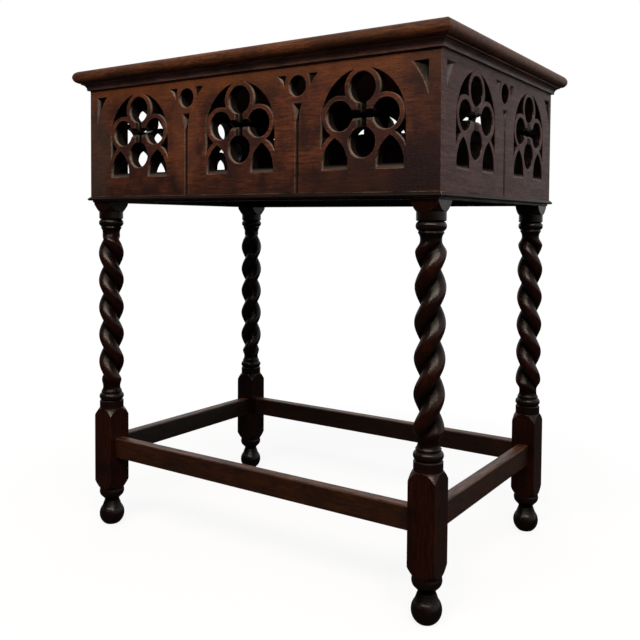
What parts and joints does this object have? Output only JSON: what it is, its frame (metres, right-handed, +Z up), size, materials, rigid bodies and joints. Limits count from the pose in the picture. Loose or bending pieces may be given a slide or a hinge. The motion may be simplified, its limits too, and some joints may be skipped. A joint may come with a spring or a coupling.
{
  "type": "side table",
  "caption": "Gothic style side table: moulded rectangular top on a pierced tracery frieze, turned legs with double twist shafts, tied by low stretchers.",
  "frame": {"origin": "on the floor under the middle of the table", "axes": "+Z up, X along the long side, -Y out of the long side that faces left in the picture"},
  "size_m": [0.675, 0.449, 0.7485],
  "materials": {
    "oak_top": "dark stained oak, waxed, worn lighter along the nosing",
    "oak_frieze": "dark stained oak, waxed, flat grain along the boards",
    "oak_leg": "nearly black stained oak, waxed to a soft gloss",
    "oak_stretcher": "dark stained oak with the upper edge worn paler",
    "softwood": "bare sawn softwood, unfinished",
    "steel": "dull steel spotted with rust"
  },
  "bodies": {
    "root": {"top_board_front": "oak_top", "top_board_middle": "oak_top", "top_board_back": "oak_top", "cove_front": "oak_top", "cove_back": "oak_top", "cove_left": "oak_top", "cove_right": "oak_top", "frieze_front": "oak_frieze", "frieze_back": "oak_frieze", "frieze_left": "oak_frieze", "frieze_right": "oak_frieze", "back_lining": "oak_frieze", "base_moulding_front": "oak_frieze", "base_moulding_back": "oak_frieze", "base_moulding_left": "oak_frieze", "base_moulding_right": "oak_frieze", "leg_front_left": "oak_leg", "leg_front_right": "oak_leg", "leg_back_left": "oak_leg", "leg_back_right": "oak_leg", "stretcher_front": "oak_stretcher", "stretcher_back": "oak_stretcher", "stretcher_left": "oak_stretcher", "stretcher_right": "oak_stretcher", "glue_blocks": "softwood", "top_screws": "steel"}
  },
  "joints": []
}
